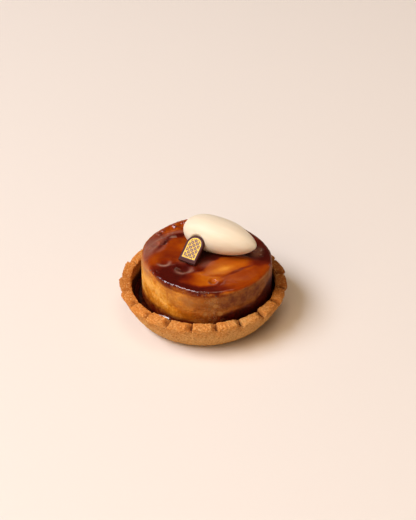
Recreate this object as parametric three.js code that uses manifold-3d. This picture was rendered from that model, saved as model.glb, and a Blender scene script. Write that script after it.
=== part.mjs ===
// A single-serving tarte tatin: a crimped shortcrust shell, a layer of dark caramel in it, a round block
// of caramelised apple slices that stands well above the rim, a quenelle of cream on top, and a small
// arched chocolate plaque pressed into the cream.
// Millimetres, +Z up, the origin at the centre of the shell's flat base.
import * as THREE from "three";
import { mergeVertices } from "three/addons/utils/BufferGeometryUtils.js";
import Module from "manifold-3d";

const gap = 0.3; // clear space between pieces that touch in the real tart

// The shell is a round-bottomed bowl of pastry whose thick lip is crimped into lobes.
const shell = {
  rimRadius: 40,
  rimHeight: 17.7,
  baseRadius: 27,
  shoulderHeight: 15.6,
  bowlPower: 0.53, // how quickly the bowl widens above its base
  lipRadius: 34.6, // inner edge of the lip
  // The inside, from the floor up, as [radius, height].
  inside: [[29, 4.5], [32.1, 6.7], [33.4, 10.6]],
};

// Each lobe starts with a steep step, runs level and then slopes down into the next notch.
const crimp = {
  lobes: 20,
  firstNotch: 11.2, // degrees
  notchDepth: 2.7,
  shallowAtOutside: 0.8, // share of the depth that is lost at the outer edge
  stepEnd: 0.11, // the share of a lobe that its steep start takes
  slopeStart: 0.72, // the share of a lobe after which it slopes down
  ratchet: 0.6, // how far a lobe's start stands proud, and its end falls back
  openInside: 0.9, // how far the inner edge draws back at a notch
  unevenness: 0.25, // lobes differ in height by about this much
  steps: [0, 0.05, 0.11, 0.42, 0.74, 0.87], // where a lobe is sampled, from its start to its end
};

const caramel = { level: 9, columns: 48 };

const apple = {
  x: 1.8,
  y: 0,
  radius: 30.7,
  oval: 1.4, // the block is longer along ovalTurn and shorter across it
  ovalTurn: 125, // degrees
  corners: 0.4,
  top: 32.2,
  edgeRadius: 1.5,
  layerPitch: 7.2, // height of one layer of slices, as it shows at the side
  layerBulge: 0.22,
  columns: 96,
  rings: [4.5, 9, 13, 16.5, 19.5, 22.5, 25, 27.2], // radii at which the top is sampled
  sideLevels: 10,
};

// Slices that lie in the top, in the order in which they were laid. The turn is in degrees.
const slices = [
  { x: 5, y: 21, turn: 15, halfLength: 17, halfWidth: 9, bend: 0.008, lift: 0.1, lean: 0.02 },
  { x: 21, y: 11, turn: -52, halfLength: 14, halfWidth: 8, bend: 0.006, lift: 0, lean: 0 },
  { x: 20, y: -16.5, turn: 38, halfLength: 16, halfWidth: 8.5, bend: 0.008, lift: 0.1, lean: -0.03 },
  { x: -1, y: -20, turn: 6, halfLength: 11.5, halfWidth: 5.6, bend: 0.006, lift: 0.1, lean: 0.03 },
  { x: -18, y: 20, turn: 44, halfLength: 17, halfWidth: 7, bend: 0.018, lift: 0.7, lean: 0.05 },
  { x: -16, y: 4.5, turn: 42, halfLength: 14, halfWidth: 9.6, bend: 0.006, lift: -0.2, lean: -0.03 },
  { x: 13, y: -9, turn: 22, halfLength: 13.5, halfWidth: 6.8, bend: 0.012, lift: 0.25, lean: -0.03 },
];

const quenelle = {
  x: 8.1,
  y: 3.8,
  turn: -28,
  halfLength: 19,
  halfWidth: 9,
  halfHeight: 8.55,
  widest: -0.21, // where it is widest, from -1 at the blunt end to 1 at the tip
  bluntPower: 2.4,
  tipPower: 2.1,
  tipTaper: 0.62,
  sunk: 0.85, // how much of it is flattened where it lies
  columns: 40,
  rings: 22,
};

const plaque = {
  x: -7.4, // middle of the foot
  y: -7.8,
  turn: -31,
  tilt: 37, // from lying flat
  width: 9.2,
  height: 13.8,
  thickness: 1.8,
  bevel: 0.35,
};

const radians = THREE.MathUtils.degToRad;
const smooth = THREE.MathUtils.smoothstep;
const fullTurn = 2 * Math.PI;

// A closed surface round Z: a lathe whose profile, given for each column, may change on the way round.
// A column has an angle and a list of [radius, height], all of one length, from the middle of the
// underside, outwards and up, to the middle of the top.
function turnedSurface(columnCount, columnAt) {
  const first = columnAt(0).profile;
  const geometry = new THREE.LatheGeometry(first.map(([r, z]) => new THREE.Vector2(r, z)), columnCount);
  const position = geometry.getAttribute("position");
  for (let i = 0; i <= columnCount; i++) {
    const { angle, profile } = columnAt(i % columnCount);
    profile.forEach(([r, z], j) => {
      position.setXYZ(i * profile.length + j, r * Math.cos(angle), r * Math.sin(angle), z);
    });
  }
  return geometry;
}

// Where the notches are: nearly even, but a little drawn together at the front, as crimped by hand.
function notchAngle(k) {
  const even = radians(crimp.firstNotch) + (k / crimp.lobes) * fullTurn;
  return even + radians(1.3) * Math.cos(even - Math.PI) + radians(1.4) * Math.cos(2 * (even - Math.PI));
}

function notchShare(t) {
  return Math.max(1 - smooth(t, 0, crimp.stepEnd), smooth(t, crimp.slopeStart, 1));
}

function shellProfile(t, lobe) {
  const notch = notchShare(t);
  const lobeLift = crimp.unevenness * Math.sin(2.4 * lobe + 1);
  const top = shell.rimHeight + lobeLift * (1 - notch);
  const ramp = t < crimp.stepEnd ? t / crimp.stepEnd : 1 - (t - crimp.stepEnd) / (1 - crimp.stepEnd);
  const proud = crimp.ratchet * (2 * ramp - 1);
  const inner = shell.lipRadius + crimp.openInside * notch;
  const outer = shell.rimRadius + proud;
  const lipTop = (share) => top - crimp.notchDepth * notch * (1 - crimp.shallowAtOutside * share);
  const points = [[0, 0], [shell.baseRadius * 0.5, 0], [shell.baseRadius, 0]];
  for (const share of [0.12, 0.3, 0.52, 0.76, 1]) {
    const bowl = shell.baseRadius + (shell.rimRadius - shell.baseRadius) * share ** shell.bowlPower;
    points.push([bowl + proud * share ** 3, shell.shoulderHeight * share]);
  }
  points.push([outer - 0.5, (shell.shoulderHeight + lipTop(1)) / 2 + 0.3]);
  points.push([outer - 1.6, lipTop(0.8)]);
  points.push([(inner + outer) / 2, lipTop(0.45) + 0.1]);
  points.push([inner + 0.5, lipTop(0.05)]);
  points.push([inner, lipTop(0) - 0.7]);
  const [floorRadius, floorHeight] = shell.inside[0];
  points.push(...[...shell.inside].reverse(), [floorRadius * 0.5, floorHeight], [0, floorHeight]);
  return points;
}

function crustGeometry() {
  const steps = crimp.steps.length;
  return turnedSurface(crimp.lobes * steps, (i) => {
    const lobe = Math.floor(i / steps);
    const t = crimp.steps[i % steps];
    const start = notchAngle(lobe);
    return { angle: start + t * (notchAngle(lobe + 1) - start), profile: shellProfile(t, lobe) };
  });
}

// The inner radius of the shell at a height where the caramel is.
function insideRadius(z) {
  const above = shell.inside.findIndex(([, height]) => height >= z);
  const [[lowRadius, low], [highRadius, high]] = [shell.inside[above - 1], shell.inside[above]];
  return lowRadius + ((z - low) / (high - low)) * (highRadius - lowRadius);
}

function caramelGeometry() {
  const corner = shell.inside[1][1];
  const bottom = shell.inside[0][1] + gap;
  const side = [bottom, corner, caramel.level].map((z) => [insideRadius(z) - 1.5 * gap, z]);
  const profile = [[0, bottom], ...side, [0, caramel.level]];
  return turnedSurface(caramel.columns, (i) => ({ angle: (i / caramel.columns) * fullTurn, profile }));
}

function appleRadius(angle) {
  return (
    apple.radius +
    apple.oval * Math.cos(2 * (angle - radians(apple.ovalTurn))) +
    apple.corners * Math.cos(4 * angle)
  );
}

// How far the top stands above its own level at a point: later slices lie over earlier ones.
function topLift(x, y) {
  let lift = 0;
  for (const slice of slices) {
    const turn = radians(slice.turn);
    const along = (x - slice.x) * Math.cos(turn) + (y - slice.y) * Math.sin(turn);
    const across = (y - slice.y) * Math.cos(turn) - (x - slice.x) * Math.sin(turn) + slice.bend * along ** 2;
    const inside = 1 - (along / slice.halfLength) ** 2 - (across / slice.halfWidth) ** 2;
    const sliceTop = slice.lift + slice.lean * across + 0.3 * inside;
    lift += (sliceTop - lift) * smooth(inside, 0, 0.55);
  }
  return lift;
}

// The layers of slices bulge at the side, and wander up and down on the way round.
function sideBulge(angle, z) {
  const wander = 1.5 * Math.sin(2 * angle + 0.8) + 0.9 * Math.sin(3 * angle + 2.2);
  const strength = apple.layerBulge * (0.7 + 0.3 * Math.sin(5 * angle + 1));
  return strength * Math.sin(((z + wander) / apple.layerPitch) * fullTurn);
}

function appleGeometry() {
  const bottom = caramel.level + gap;
  const edgeTop = apple.top - apple.edgeRadius;
  const columnAt = (i) => {
    const angle = (i / apple.columns) * fullTurn;
    const radius = appleRadius(angle);
    const lifted = (r) => {
      const x = apple.x + r * Math.cos(angle);
      return apple.top + topLift(x, apple.y + r * Math.sin(angle));
    };
    const profile = [[0, bottom], [radius - 1, bottom]];
    for (let level = 0; level < apple.sideLevels; level++) {
      const z = bottom + 0.8 + ((edgeTop - bottom - 0.8) * level) / (apple.sideLevels - 1);
      profile.push([radius + sideBulge(angle, z), z]);
    }
    for (const turn of [30, 60, 90].map(radians)) {
      const r = radius - apple.edgeRadius * (1 - Math.cos(turn));
      profile.push([r, edgeTop + (lifted(r) - edgeTop) * Math.sin(turn)]);
    }
    const rings = apple.rings.map((r) => r * (radius / apple.radius));
    profile.push(...rings.reverse().map((r) => [r, lifted(r)]), [0, lifted(0)]);
    return { angle, profile };
  };
  return turnedSurface(apple.columns, columnAt).translate(apple.x, apple.y, 0);
}

// Half the thickness of the quenelle, from 0 to 1, on the way from its blunt end, -1, to its tip, 1.
function quenelleShare(t) {
  if (t < quenelle.widest) {
    return Math.sqrt(1 - ((quenelle.widest - t) / (1 + quenelle.widest)) ** quenelle.bluntPower);
  }
  return (1 - ((t - quenelle.widest) / (1 - quenelle.widest)) ** quenelle.tipPower) ** quenelle.tipTaper;
}

function quenelleGeometry() {
  const { halfLength, halfWidth, halfHeight, rings, columns } = quenelle;
  const centre = halfHeight - quenelle.sunk;
  const profile = [];
  for (let ring = 0; ring <= rings; ring++) {
    const t = -Math.cos((ring / rings) * Math.PI);
    profile.push(new THREE.Vector2(ring % rings ? quenelleShare(t) : 0, t * halfLength));
  }
  // The lathe's axis is laid down along X, then the round section is made as wide and high as it is.
  const geometry = new THREE.LatheGeometry(profile, columns).rotateZ(-Math.PI / 2);
  geometry.scale(1, halfHeight, halfWidth).rotateX(Math.PI / 2).translate(0, 0, centre);
  const position = geometry.getAttribute("position");
  for (let i = 0; i < position.count; i++) {
    position.setZ(i, Math.max(position.getZ(i), 0));
  }
  return geometry;
}

// An upright rectangle with a half-round top, its foot on y = 0.
function archShape(width, height) {
  const half = width / 2;
  const shape = new THREE.Shape();
  shape.moveTo(-half, 0);
  shape.lineTo(half, 0);
  shape.lineTo(half, height - half);
  shape.absarc(0, height - half, half, 0, Math.PI, false);
  shape.closePath();
  return shape;
}

// grow makes the plaque larger all round, for the recess that it presses into the cream.
function plaqueGeometry(grow = 0) {
  const { width, height, thickness, bevel } = plaque;
  const shape = archShape(width - 2 * bevel + 2 * grow, height - 2 * bevel + 2 * grow);
  const geometry = new THREE.ExtrudeGeometry(shape, {
    depth: thickness - 2 * bevel + 2 * grow,
    bevelThickness: bevel,
    bevelSize: bevel,
    bevelSegments: 1,
    curveSegments: 14,
  });
  return geometry.translate(0, bevel - grow, bevel - grow);
}

const wasm = await Module();
wasm.setup();

// A mesh's geometry, placed as the mesh is, as a solid that can be cut.
function solidOf(mesh) {
  mesh.updateMatrixWorld(true);
  const bare = new THREE.BufferGeometry();
  const source = mesh.geometry.index ? mesh.geometry.toNonIndexed() : mesh.geometry;
  bare.setAttribute("position", source.getAttribute("position").clone());
  const merged = mergeVertices(bare.applyMatrix4(mesh.matrixWorld), 1e-4);
  const vertProperties = merged.getAttribute("position").array;
  return new wasm.Manifold(
    new wasm.Mesh({ numProp: 3, vertProperties, triVerts: new Uint32Array(merged.index.array) }),
  );
}

function geometryOf(solid) {
  const made = solid.getMesh();
  const geometry = new THREE.BufferGeometry();
  geometry.setAttribute("position", new THREE.BufferAttribute(made.vertProperties, 3));
  geometry.setIndex(new THREE.BufferAttribute(made.triVerts, 1));
  return geometry;
}

function node(name, geometry, color, roughness) {
  const mesh = new THREE.Mesh(geometry, new THREE.MeshStandardMaterial({ color, roughness, metalness: 0 }));
  mesh.name = name;
  return mesh;
}

function placePlaque(mesh) {
  const tilt = radians(plaque.tilt);
  mesh.rotation.set(tilt, 0, radians(plaque.turn), "ZYX");
  mesh.position.set(plaque.x, plaque.y, apple.top + topLift(plaque.x, plaque.y) + gap);
  return mesh;
}

function buildTart() {
  const crust = node("crust", crustGeometry(), 0xc98a4c, 0.85);
  const caramelLayer = node("caramel", caramelGeometry(), 0x4a1608, 0.12);
  const appleBlock = node("apple", appleGeometry(), 0xb4600f, 0.18);
  const plaqueNode = placePlaque(node("plaque", plaqueGeometry(), 0x3a1f24, 0.35));

  const creamWhole = node("cream", quenelleGeometry(), 0xf5e6c8, 0.5);
  creamWhole.rotation.z = radians(quenelle.turn);
  creamWhole.position.set(quenelle.x, quenelle.y, apple.top + gap);
  // What is left of the cream: clear of the apple slices under it and of the plaque pressed into it.
  const recess = placePlaque(node("recess", plaqueGeometry(gap), 0xffffff, 1));
  const lowered = appleBlock.clone();
  lowered.position.z += gap;
  const cut = solidOf(creamWhole).subtract(solidOf(recess)).subtract(solidOf(lowered));
  const cream = node("cream", geometryOf(cut), 0xf5e6c8, 0.5);

  const tart = new THREE.Group();
  tart.add(crust, caramelLayer, appleBlock, cream, plaqueNode);
  return tart;
}

export default buildTart();
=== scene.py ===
import math
import bpy
import numpy as np
from mathutils import Euler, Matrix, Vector, noise


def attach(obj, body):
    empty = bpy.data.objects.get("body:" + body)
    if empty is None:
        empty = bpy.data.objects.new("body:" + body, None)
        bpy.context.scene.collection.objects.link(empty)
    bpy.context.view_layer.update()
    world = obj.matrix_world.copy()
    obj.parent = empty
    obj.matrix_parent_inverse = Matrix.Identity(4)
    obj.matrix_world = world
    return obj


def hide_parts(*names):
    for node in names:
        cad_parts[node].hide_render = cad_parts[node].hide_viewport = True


# A single-serving tarte tatin. Sizes are in millimetres, and a mesh is brought to metres when it is made.
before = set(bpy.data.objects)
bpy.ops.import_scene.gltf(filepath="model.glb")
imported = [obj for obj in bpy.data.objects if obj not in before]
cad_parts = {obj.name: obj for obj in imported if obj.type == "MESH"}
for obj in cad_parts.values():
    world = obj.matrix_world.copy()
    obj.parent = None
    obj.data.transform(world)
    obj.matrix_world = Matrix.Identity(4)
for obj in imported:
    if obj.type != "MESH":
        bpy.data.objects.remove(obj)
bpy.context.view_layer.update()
mm = 0.001
print("frame loaded")


def smooth(value, low, high):
    t = np.clip((value - low) / (high - low), 0, 1)
    return t * t * (3 - 2 * t)


def hump(distance, width):
    return np.exp(-(distance / width) ** 2)


# A hump round an angle in degrees, by the shorter way round.
def humpRound(degree, middle, reach):
    return hump((degree - middle + 180) % 360 - 180, reach)


# Noise shows its lattice on a face at 45 degrees to its axes, so it's always turned off them.
offAxes = Euler((0.9, 0.5, 0.7)).to_matrix()


# Fractal noise, about -1 to 1, at each of the points; size is that of its largest lumps.
def lumps(points, size, octaves=3, seed=0):
    shift = Vector((17.3, 5.1, 9.7)) * seed
    flat = points.reshape(-1, 3) @ np.array(offAxes) / size
    values = [noise.fractal(Vector(p) + shift, 1.0, 2.0, octaves) for p in flat]
    return np.array(values).reshape(points.shape[:-1])


# A smooth curve through a list of points, with so many steps from each to the next. The points are the
# second to last axis, so a whole fan of sections can be drawn at once.
def throughPoints(points, steps):
    count = points.shape[-2]
    weights = []
    for k in range(count - 1):
        for t in np.arange(steps[k]) / steps[k]:
            row = np.zeros(count)
            around = [max(k - 1, 0), k, k + 1, min(k + 2, count - 1)]
            share = [-t + 2 * t**2 - t**3, 2 - 5 * t**2 + 3 * t**3, t + 4 * t**2 - 3 * t**3, t**3 - t**2]
            for index, value in zip(around, share):
                row[index] += value / 2
            weights.append(row)
    last = np.zeros(count)
    last[-1] = 1
    weights.append(last)
    return np.array(weights) @ points


def makeMesh(name, vertices, faces, attributes=None):
    mesh = bpy.data.meshes.new(name)
    mesh.from_pydata((np.asarray(vertices) * mm).tolist(), [], faces)
    for key, values in (attributes or {}).items():
        layer = mesh.attributes.new(key, "FLOAT", "POINT")
        layer.data.foreach_set("value", np.asarray(values, dtype=np.float32).ravel())
    mesh.shade_smooth()
    mesh.update()
    piece = bpy.data.objects.new(name, mesh)
    bpy.context.scene.collection.objects.link(piece)
    return piece


# A closed skin over a grid of points: rows run from one pole to the other, columns all the way round,
# counter-clockwise seen from the last pole. Each pole is the middle of its end row.
def closedSkin(name, grid, attributes=None):
    rows, columns = grid.shape[:2]
    vertices = np.concatenate([grid.reshape(-1, 3), [grid[0].mean(0)], [grid[-1].mean(0)]])
    index = np.arange(rows * columns).reshape(rows, columns)
    turned = np.roll(index, -1, axis=1)
    quads = np.stack([index[:-1], turned[:-1], turned[1:], index[1:]], axis=-1).reshape(-1, 4)
    first, last = rows * columns, rows * columns + 1
    caps = [(first, b, a) for a, b in zip(index[0], turned[0])]
    caps += [(last, a, b) for a, b in zip(index[-1], turned[-1])]
    faces = quads.tolist() + [tuple(int(i) for i in cap) for cap in caps]
    layers = {}
    for key, values in (attributes or {}).items():
        layers[key] = np.concatenate([values.ravel(), [values[0].mean()], [values[-1].mean()]])
    return makeMesh(name, vertices, faces, layers)


# One output socket in a node tree. Sums and products of wires add the Math nodes that work them out.
class Wire:
    def __init__(self, tree, socket=None):
        self.tree = tree
        self.socket = socket

    # Adds a node: its settings first, then the values or wires of its inputs, by name or number.
    def node(self, kind, settings=None, inputs=None, output=0):
        added = self.tree.nodes.new(kind)
        for key, value in (settings or {}).items():
            if key == "stops":
                ramp = added.color_ramp.elements
                while len(ramp) < len(value):
                    ramp.new(0.5)
                for stop, (place, colour) in zip(ramp, value):
                    stop.position = place
                    stop.color = (*colour, 1)
            else:
                setattr(added, key, value)
        for key, value in (inputs or {}).items():
            if isinstance(value, Wire):
                self.tree.links.new(value.socket, added.inputs[key])
            else:
                added.inputs[key].default_value = value
        return Wire(self.tree, added.outputs[output])

    def math(self, operation, *others):
        return self.node("ShaderNodeMath", {"operation": operation}, dict(enumerate((self, *others))))

    def __add__(self, other):
        return self.math("ADD", other)

    __radd__ = __add__

    def __sub__(self, other):
        return self.math("SUBTRACT", other)

    def __rsub__(self, other):
        return self.node("ShaderNodeMath", {"operation": "SUBTRACT"}, {0: other, 1: self})

    def __mul__(self, other):
        return self.math("MULTIPLY", other)

    __rmul__ = __mul__

    def __truediv__(self, other):
        return self.math("DIVIDE", other)

    def __rtruediv__(self, other):
        return self.node("ShaderNodeMath", {"operation": "DIVIDE"}, {0: other, 1: self})

    # 0 below low, 1 above high, and smooth between; the two may be the other way round.
    def ramp(self, low, high):
        return self.node(
            "ShaderNodeMapRange",
            {"interpolation_type": "SMOOTHSTEP"},
            {"Value": self, "From Min": low, "From Max": high, "To Min": 0.0, "To Max": 1.0},
        )

    # The colour first where this is 0, and second where it is 1. The node's colours are its inputs 6 and 7.
    def mix(self, first, second):
        colours = {
            key: colour if isinstance(colour, Wire) else (*colour, 1)
            for key, colour in ((6, first), (7, second))
        }
        return self.node("ShaderNodeMix", {"data_type": "RGBA"}, {0: self, **colours}, output=2)

    # Object coordinates in millimetres.
    def place(self):
        if self.tree.type == "GEOMETRY":
            position = self.node("GeometryNodeInputPosition")
        else:
            position = self.node("ShaderNodeTexCoord", output=3)
        return position.scaled(1 / mm)

    def scaled(self, size):
        return self.node("ShaderNodeVectorMath", {"operation": "SCALE"}, {0: self, "Scale": size})

    def attribute(self, name):
        if self.tree.type == "GEOMETRY":
            return self.node("GeometryNodeInputNamedAttribute", {"data_type": "FLOAT"}, {"Name": name})
        return self.node("ShaderNodeAttribute", {"attribute_name": name}, output=2)

    def stored(self, name, value):
        return self.node(
            "GeometryNodeStoreNamedAttribute",
            {"data_type": "FLOAT", "domain": "POINT"},
            {"Geometry": self, "Name": name, "Value": value},
        )

    def moved(self, offset):
        return self.node("GeometryNodeSetPosition", {}, {"Geometry": self, "Offset": offset})

    # Noise about 0.5 on a place in millimetres; size is that of its lumps.
    def cloud(self, size, detail=2.0, stretch=(1, 1, 1), roughness=0.5):
        placed = self.node("ShaderNodeVectorMath", {"operation": "MULTIPLY"}, {0: self, 1: stretch})
        turn = {0: placed, "Rotation": tuple(offAxes.to_euler())}
        turned = self.node("ShaderNodeVectorRotate", {"rotation_type": "EULER_XYZ"}, turn)
        return self.node(
            "ShaderNodeTexNoise",
            {"noise_dimensions": "3D"},
            {"Vector": turned, "Scale": 1 / size, "Detail": detail, "Roughness": roughness},
        )

    # Distance from the nearest of many scattered points, 0 at each of them.
    def cells(self, size):
        return self.node("ShaderNodeTexVoronoi", {}, {"Vector": self, "Scale": 1 / size})

    def relief(self, depth):
        return self.node("ShaderNodeBump", {}, {"Height": self, "Distance": depth * mm})

    # Points strewn at random over a mesh.
    def strewn(self, density, seed):
        inputs = {"Mesh": self, "Density": density, "Seed": seed}
        return self.node("GeometryNodeDistributePointsOnFaces", {"distribute_method": "RANDOM"}, inputs)

    # A random number for each point.
    def chance(self, low, high, seed):
        inputs = {2: low, 3: high, "Seed": seed}
        return self.node("FunctionNodeRandomValue", {"data_type": "FLOAT"}, inputs, output=1)

    # A copy of the same small mesh on each point.
    def eachWith(self, small, rotation, scale):
        inputs = {"Points": self, "Instance": small, "Rotation": rotation, "Scale": scale}
        return self.node("GeometryNodeInstanceOnPoints", {}, inputs)


# A material: fixed values for the shader's sockets, and a function that gives the ones that vary.
def makeMaterial(name, fixed, varying):
    material = bpy.data.materials.new(name)
    material.use_nodes = True
    tree = material.node_tree
    shader = tree.nodes["Principled BSDF"]
    for key, value in fixed.items():
        shader.inputs[key].default_value = value
    for key, wire in varying(Wire(tree)).items():
        tree.links.new(wire.socket, shader.inputs[key])
    return material


# Grows a new piece from another by geometry nodes. build gets the wire of the first piece's mesh and one
# for each named size, and returns the grown geometry, which becomes a plain mesh.
def growFrom(base, name, sizes, build, material):
    tree = bpy.data.node_groups.new(name, "GeometryNodeTree")
    tree.interface.new_socket("Geometry", in_out="OUTPUT", socket_type="NodeSocketGeometry")
    tree.interface.new_socket("Geometry", in_out="INPUT", socket_type="NodeSocketGeometry")
    keys = {}
    for key, value in sizes.items():
        kind = "NodeSocketInt" if isinstance(value, int) else "NodeSocketFloat"
        keys[key] = tree.interface.new_socket(key, in_out="INPUT", socket_type=kind).identifier
    start = tree.nodes.new("NodeGroupInput")
    wires = {key: Wire(tree, start.outputs[key]) for key in sizes}
    grown = build(Wire(tree, start.outputs["Geometry"]), wires)
    grown = grown.node("GeometryNodeRealizeInstances", {}, {"Geometry": grown})
    grown = grown.node("GeometryNodeSetMaterial", {}, {"Geometry": grown, "Material": material})
    finish = tree.nodes.new("NodeGroupOutput")
    tree.links.new(grown.socket, finish.inputs[0])
    modifier = base.modifiers.new(name, "NODES")
    modifier.node_group = tree
    for key, identifier in keys.items():
        modifier[identifier] = sizes[key]
    evaluated = base.evaluated_get(bpy.context.evaluated_depsgraph_get())
    mesh = bpy.data.meshes.new_from_object(evaluated)
    base.modifiers.remove(modifier)
    mesh.name = name
    piece = bpy.data.objects.new(name, mesh)
    bpy.context.scene.collection.objects.link(piece)
    return piece


# The piece takes its place in the frame: what it stands for and its finish.
def settle(piece, material, node=None):
    if material:
        piece.data.materials.clear()
        piece.data.materials.append(material)
    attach(piece, "root")
    if node:
        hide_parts(node)
    print(piece.name, "in place:", len(piece.data.polygons), "faces")


crust = {
    "rim": 39.85,
    "top": 17.7,
    "base": 27.0,
    "shoulder": 15.6,
    "bowlPower": 0.53,
    "lip": 34.6,
    "inside": [(33.4, 10.6, 8), (32.1, 6.7, 4)],
    "floor": 4.5,
    "columns": 800,
    "browning": 0.8,
    # Where it baked darker than elsewhere, or paler: angle, reach and how much. The dark at 8 degrees is
    # painted shade on lobes that lie in the apple's shadow, and the paler front right at 303 degrees is
    # painted light.
    "bakesAndShade": [(185, 30, 0.5), (8, 26, 1.3), (303, 22, -0.35)],
    # How high caramel soaked into its inner wall, and where less high: angle, reach and by how much. Below
    # that height the wall is also darkened as painted shade for the trench, and it is less high where the
    # wall is lit.
    "soakedAndShadedTo": 15.9,
    "drierAndLit": (160, 14, 2.5),
    # What the crimping tool does to the plain lip. First notch and the two wobbles are in degrees, Step end
    # and Slope start are shares of a lobe, and the rest is in millimetres.
    "crimp": {
        "Lobes": 20,
        "First notch": 11.2,
        "Wobble": 1.3,
        "Double wobble": 1.4,
        "Notch depth": 2.6,
        "Pinch": 0.55,
        "Step end": 0.05,
        "Slope start": 0.77,
        "Ratchet": 0.6,
        "Open inside": 0.15,
        "Unevenness": 0.25,
        "Crown": 0.4,
        "Lip wander": 0.15,
        "Crumb size": 1.2,
        "Crumb depth": 0.42,
    },
    # How many crumbs to the square metre, and the radius of the smallest and the largest.
    "crumbs": {"Density": 480000.0, "Smallest": 0.1, "Largest": 0.3, "Seed": 11},
}


# The plain shell, turned on a lathe. Each row has its radius and height, how far the crimping presses it
# down, opens it inwards and pushes it out, and how many steps there are to the next one.
def latheShell():
    rim, top, lip, shoulder = crust["rim"], crust["top"], crust["lip"], crust["shoulder"]
    rows = [(0, 0, 0, 0, 0, 2), (13, 0, 0, 0, 0, 2), (25.6, 0, 0, 0, 0, 3), (27.2, 0.25, 0, 0, 0, 6)]
    for share in (0.1, 0.22, 0.36, 0.52, 0.7, 0.86, 1):
        bowl = crust["base"] + (rim - crust["base"]) * share ** crust["bowlPower"]
        rows.append((bowl, shoulder * share, 0, 0, share**3, 8))
    rows += [
        (rim - 0.35, (shoulder + top) / 2 + 0.45, 0.8, 0, 1, 4),
        (rim - 1.1, top - 0.1, 1, 0, 1, 4),
        (rim - 2.2, top + 0.05, 1, 0, 1, 5),
        ((lip + rim) / 2, top + 0.12, 1, 0.5, 0.5, 5),
        (lip + 1.2, top + 0.1, 0.7, 1, 0, 3),
        (lip + 0.45, top - 0.1, 0.32, 1, 0, 3),
        (lip, top - 0.75, 0.18, 1, 0, 5),
        (lip - 0.1, top - 2.5, 0.1, 1, 0, 9),
    ]
    wallStart = sum(row[5] for row in rows[:-1])
    rows += [(radius, height, 0, 0, 0, steps) for radius, height, steps in crust["inside"]]
    floor = crust["floor"]
    rows += [(29.0, floor, 0, 0, 0, 4), (14, floor, 0, 0, 0, 1), (0, floor, 0, 0, 0, 1)]
    rows = np.array(rows, dtype=float)
    section = throughPoints(rows[:, :5], rows[:-1, 5].astype(int))[1:-1]
    radius, z, press, openness, push = (part[:, None] for part in section.T)
    angle = np.arange(crust["columns"]) / crust["columns"] * 2 * math.pi
    still = np.zeros_like(angle)
    z = np.maximum(z, 0)
    grid = np.stack([radius * np.cos(angle), radius * np.sin(angle), z + still], axis=-1)
    inWall = np.zeros_like(radius)
    inWall[wallStart:] = 1
    degree = np.degrees(angle)
    bakeAndShade = sum(much * humpRound(degree, middle, reach) for middle, reach, much in crust["bakesAndShade"])
    middle, reach, less = crust["drierAndLit"]
    soakedAndShadedTo = crust["soakedAndShadedTo"] - less * humpRound(degree, middle, reach)
    layers = {
        "press": press + still,
        "openness": openness + still,
        "push": push + still,
        "browning": smooth(z, 6, 18) * (crust["browning"] + bakeAndShade) + 0.2 * smooth(z, 2.5, 0),
        # The inner wall's dark: its caramel soak, and painted shade in the trench.
        "stain": inWall * smooth(z - soakedAndShadedTo, 0.6, -1.6),
        "rough": smooth(z, 0.0, 1.6) * smooth(radius, 28, 31) * (1 - 0.6 * inWall) + still,
    }
    return closedSkin("plainShell", grid, layers)


def crimpLip(shell, size):
    place = shell.place()
    x, y = (place.node("ShaderNodeSeparateXYZ", {}, {0: place}, output=k) for k in (0, 1))
    angle = y.math("ARCTAN2", x)
    # The notches aren't quite evenly spaced round the rim.
    wobble = (angle - math.pi).math("COSINE") * size["Wobble"]
    wobble = wobble + (angle * 2).math("COSINE") * size["Double wobble"]
    turns = (angle * (180 / math.pi) - wobble - size["First notch"]) * size["Lobes"] / 360
    turns = turns + size["Lobes"] * 2  # two rounds more, so that no lobe's number is below 0
    lobe = turns.math("FLOOR")
    t = turns - lobe
    rise = (t / size["Step end"]).math("MINIMUM", 1.0)
    fall = ((t - size["Step end"]) / (1 - size["Step end"])).math("MAXIMUM", 0.0)
    slope = ((t - size["Slope start"]) / (1 - size["Slope start"])).math("MAXIMUM", 0.0)
    notch = (1 - rise.ramp(0.0, 1.0)).math("MAXIMUM", slope)
    out = (rise.ramp(0.0, 1.0) * 2 - 1 - fall * 2) * size["Ratchet"] - notch * size["Pinch"]
    crown = fall * (1 - fall) * size["Crown"]
    uneven = (lobe * 2.4).math("SINE") * size["Unevenness"] * (1 - notch) + crown
    lift = uneven * shell.attribute("openness").math("MAXIMUM", shell.attribute("press"))
    lift = lift - notch * size["Notch depth"] * shell.attribute("press")
    inwards = notch * size["Open inside"] + (lobe * 5.1).math("SINE") * size["Lip wander"]
    sideways = out * shell.attribute("push") + inwards * shell.attribute("openness")
    outward = shell.node("ShaderNodeCombineXYZ", {}, {0: angle.math("COSINE"), 1: angle.math("SINE")})
    up = shell.node("ShaderNodeCombineXYZ", {}, {2: lift * mm})
    shift = up.node("ShaderNodeVectorMath", {"operation": "ADD"}, {0: up, 1: outward.scaled(sideways * mm)})
    crimped = shell.moved(shift).stored("notch", notch * shell.attribute("press").ramp(0.05, 0.4))

    # The baked crumb: grains and pits along the surface's own normal.
    grain = shell.place().cloud(size["Crumb size"], 3.0, roughness=0.62)
    broad = shell.place().cloud(7.0, 1.0)
    relief = (grain - 0.62) * 2.4 * size["Crumb depth"] + (broad - 0.5) * 0.5
    normal = shell.node("GeometryNodeInputNormal")
    relief = normal.scaled(relief * shell.attribute("rough") * mm)
    return crimped.moved(relief).stored("grain", grain)


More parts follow.
